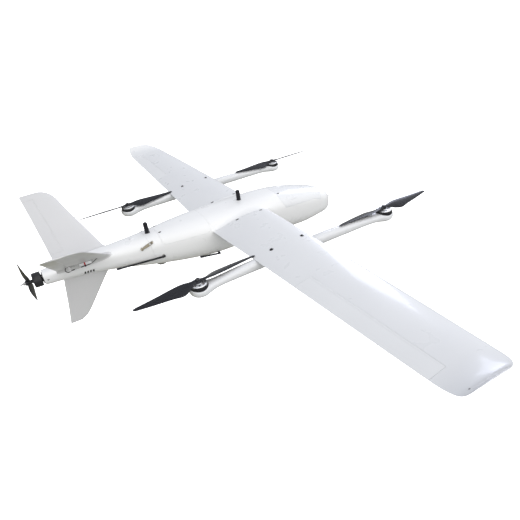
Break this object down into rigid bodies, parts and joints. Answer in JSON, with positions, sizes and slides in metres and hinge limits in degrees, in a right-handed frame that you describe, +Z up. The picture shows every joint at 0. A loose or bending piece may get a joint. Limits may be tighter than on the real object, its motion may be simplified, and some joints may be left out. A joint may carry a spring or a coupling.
{
  "type": "fixed wing drone",
  "caption": "Fixed wing drone with vertical lift rotors on twin booms, a tail pusher propeller, V tail with a lower fin, hinged control surfaces, folding legs and lift-off hatches.",
  "frame": {"origin": "centre of the lower face of the payload plate in the belly, under the wing", "axes": "+X towards the nose, +Y towards the left wing tip, +Z up"},
  "size_m": [1.5436, 2.504, 0.4359],
  "materials": {
    "white_shell": "satin gloss paint over composite",
    "hatch_white": "satin gloss paint over composite",
    "carbon_black": "smooth dark carbon",
    "motor_silver": "turned",
    "motor_black": "satin black",
    "steel": "satin",
    "latch_steel": "plated",
    "black_plastic": "matte",
    "grey_plate": "matte",
    "battery_wrap": "matte",
    "red_plastic": "matte"
  },
  "bodies": {
    "airframe": {"fuselage_shell": "white_shell", "tail_cone": "white_shell", "payload_plate": "grey_plate", "belly_sensor": "grey_plate", "pitot_tube": "steel", "battery_pack": "battery_wrap", "autopilot": "black_plastic", "wing_joiner_tube": "carbon_black", "wing_alignment_pin": "carbon_black", "antenna_rear": "black_plastic", "antenna_front": "black_plastic", "wing_panel_left": "white_shell", "lift_boom_left": "white_shell", "tail_plane_left": "white_shell", "tail_servo_left": "black_plastic", "latch_base_left": "latch_steel", "latch_catch_left": "latch_steel", "wing_panel_right": "white_shell", "lift_boom_right": "white_shell", "tail_plane_right": "white_shell", "tail_servo_right": "black_plastic", "latch_base_right": "latch_steel", "latch_catch_right": "latch_steel", "motor_base_front_left": "motor_black", "motor_base_front_right": "motor_black", "motor_base_rear_left": "motor_black", "motor_base_rear_right": "motor_black", "ventral_fin": "white_shell", "pusher_motor_base": "motor_black"},
    "rotor_front_left": {"motor_bell_front_left": "motor_silver", "lift_propeller_front_left": "carbon_black", "propeller_clamp_front_left": "motor_black"},
    "rotor_front_right": {"motor_bell_front_right": "motor_silver", "lift_propeller_front_right": "carbon_black", "propeller_clamp_front_right": "motor_black"},
    "rotor_rear_left": {"motor_bell_rear_left": "motor_silver", "lift_propeller_rear_left": "carbon_black", "propeller_clamp_rear_left": "motor_black"},
    "rotor_rear_right": {"motor_bell_rear_right": "motor_silver", "lift_propeller_rear_right": "carbon_black", "propeller_clamp_rear_right": "motor_black"},
    "pusher": {"pusher_motor_bell": "motor_black", "pusher_propeller": "carbon_black", "pusher_nut": "steel"},
    "aileron_left": {"aileron_left": "white_shell"},
    "aileron_right": {"aileron_right": "white_shell"},
    "ruddervator_left": {"ruddervator_left": "white_shell"},
    "servo_arm_left": {"servo_arm_left": "red_plastic"},
    "pushrod_left": {"pushrod_left": "steel"},
    "ruddervator_right": {"ruddervator_right": "white_shell"},
    "servo_arm_right": {"servo_arm_right": "red_plastic"},
    "pushrod_right": {"pushrod_right": "steel"},
    "leg_front_left": {"leg_front_left": "black_plastic"},
    "leg_rear_left": {"leg_rear_left": "black_plastic"},
    "latch_lever_left": {"latch_lever_left": "latch_steel"},
    "leg_front_right": {"leg_front_right": "black_plastic"},
    "leg_rear_right": {"leg_rear_right": "black_plastic"},
    "latch_lever_right": {"latch_lever_right": "latch_steel"},
    "nose_hatch": {"nose_hatch": "hatch_white"},
    "rear_hatch": {"rear_hatch": "hatch_white"}
  },
  "joints": [
    {"name": "rotor_front_left_spin", "type": "hinge", "parent": "airframe", "child": "rotor_front_left", "pos_m": [0.402, 0.425, 0.152], "axis": [0, 0, 1], "continuous": true},
    {"name": "rotor_front_right_spin", "type": "hinge", "parent": "airframe", "child": "rotor_front_right", "pos_m": [0.402, -0.425, 0.152], "axis": [0, 0, 1], "continuous": true},
    {"name": "rotor_rear_left_spin", "type": "hinge", "parent": "airframe", "child": "rotor_rear_left", "pos_m": [-0.402, 0.425, 0.152], "axis": [0, 0, 1], "continuous": true},
    {"name": "rotor_rear_right_spin", "type": "hinge", "parent": "airframe", "child": "rotor_rear_right", "pos_m": [-0.402, -0.425, 0.152], "axis": [0, 0, 1], "continuous": true},
    {"name": "pusher_spin", "type": "hinge", "parent": "airframe", "child": "pusher", "pos_m": [-0.836, 0, 0.14], "axis": [1, 0, 0], "continuous": true},
    {"name": "aileron_left_hinge", "type": "hinge", "parent": "airframe", "child": "aileron_left", "pos_m": [-0.117, 0.655, 0.15297], "axis": [0.0232, 0.9997, 0.0038], "range_deg": [-25, 25]},
    {"name": "aileron_right_hinge", "type": "hinge", "parent": "airframe", "child": "aileron_right", "pos_m": [-0.117, -0.655, 0.15297], "axis": [-0.0232, 0.9997, -0.0038], "range_deg": [-25, 25]},
    {"name": "ruddervator_left_hinge", "type": "hinge", "parent": "airframe", "child": "ruddervator_left", "pos_m": [-0.742, 0.07185, 0.18251], "axis": [-0.1162, 0.8496, 0.5145], "range_deg": [-25, 25]},
    {"name": "servo_arm_left_pivot", "type": "hinge", "parent": "airframe", "child": "servo_arm_left", "pos_m": [-0.69283, 0.09512, 0.1966], "axis": [-0.1162, 0.8496, 0.5145], "range_deg": [-25, 25]},
    {"name": "pushrod_left_eye", "type": "hinge", "parent": "servo_arm_left", "child": "pushrod_left", "pos_m": [-0.69314, 0.10725, 0.18174], "axis": [-0.1162, 0.8496, 0.5145], "range_deg": [-25, 25]},
    {"name": "ruddervator_right_hinge", "type": "hinge", "parent": "airframe", "child": "ruddervator_right", "pos_m": [-0.742, -0.07185, 0.18251], "axis": [0.1162, 0.8496, -0.5145], "range_deg": [-25, 25]},
    {"name": "servo_arm_right_pivot", "type": "hinge", "parent": "airframe", "child": "servo_arm_right", "pos_m": [-0.69283, -0.09512, 0.1966], "axis": [0.1162, 0.8496, -0.5145], "range_deg": [-25, 25]},
    {"name": "pushrod_right_eye", "type": "hinge", "parent": "servo_arm_right", "child": "pushrod_right", "pos_m": [-0.69314, -0.10725, 0.18174], "axis": [0.1162, 0.8496, -0.5145], "range_deg": [-25, 25]},
    {"name": "leg_front_left_swing", "type": "hinge", "parent": "airframe", "child": "leg_front_left", "pos_m": [-0.1855, 0.1, 0.031], "axis": [0, -1, 0], "range_deg": [0, 90]},
    {"name": "leg_rear_left_swing", "type": "hinge", "parent": "airframe", "child": "leg_rear_left", "pos_m": [-0.408, 0.085, 0.097], "axis": [0, -1, 0], "range_deg": [0, 65]},
    {"name": "latch_lever_left_swing", "type": "hinge", "parent": "airframe", "child": "latch_lever_left", "pos_m": [-0.481, 0.0662, 0.1488], "axis": [-0.247, -0.5105, 0.8236], "range_deg": [0, 100]},
    {"name": "leg_front_right_swing", "type": "hinge", "parent": "airframe", "child": "leg_front_right", "pos_m": [-0.1855, -0.1, 0.031], "axis": [0, -1, 0], "range_deg": [0, 90]},
    {"name": "leg_rear_right_swing", "type": "hinge", "parent": "airframe", "child": "leg_rear_right", "pos_m": [-0.408, -0.085, 0.097], "axis": [0, -1, 0], "range_deg": [0, 65]},
    {"name": "latch_lever_right_swing", "type": "hinge", "parent": "airframe", "child": "latch_lever_right", "pos_m": [-0.481, -0.0662, 0.1488], "axis": [0.247, -0.5105, -0.8236], "range_deg": [0, 100]},
    {"name": "nose_hatch_lift", "type": "slide", "parent": "airframe", "child": "nose_hatch", "axis": [0, 0, 1], "range_m": [0, 0.08]},
    {"name": "rear_hatch_lift", "type": "slide", "parent": "airframe", "child": "rear_hatch", "axis": [0, 0, 1], "range_m": [0, 0.08]}
  ],
  "couplings": [
    {"joint": "servo_arm_left_pivot", "follows": "ruddervator_left_hinge", "ratio": 1},
    {"joint": "pushrod_left_eye", "follows": "ruddervator_left_hinge", "ratio": -1},
    {"joint": "servo_arm_right_pivot", "follows": "ruddervator_right_hinge", "ratio": 1},
    {"joint": "pushrod_right_eye", "follows": "ruddervator_right_hinge", "ratio": -1}
  ]
}
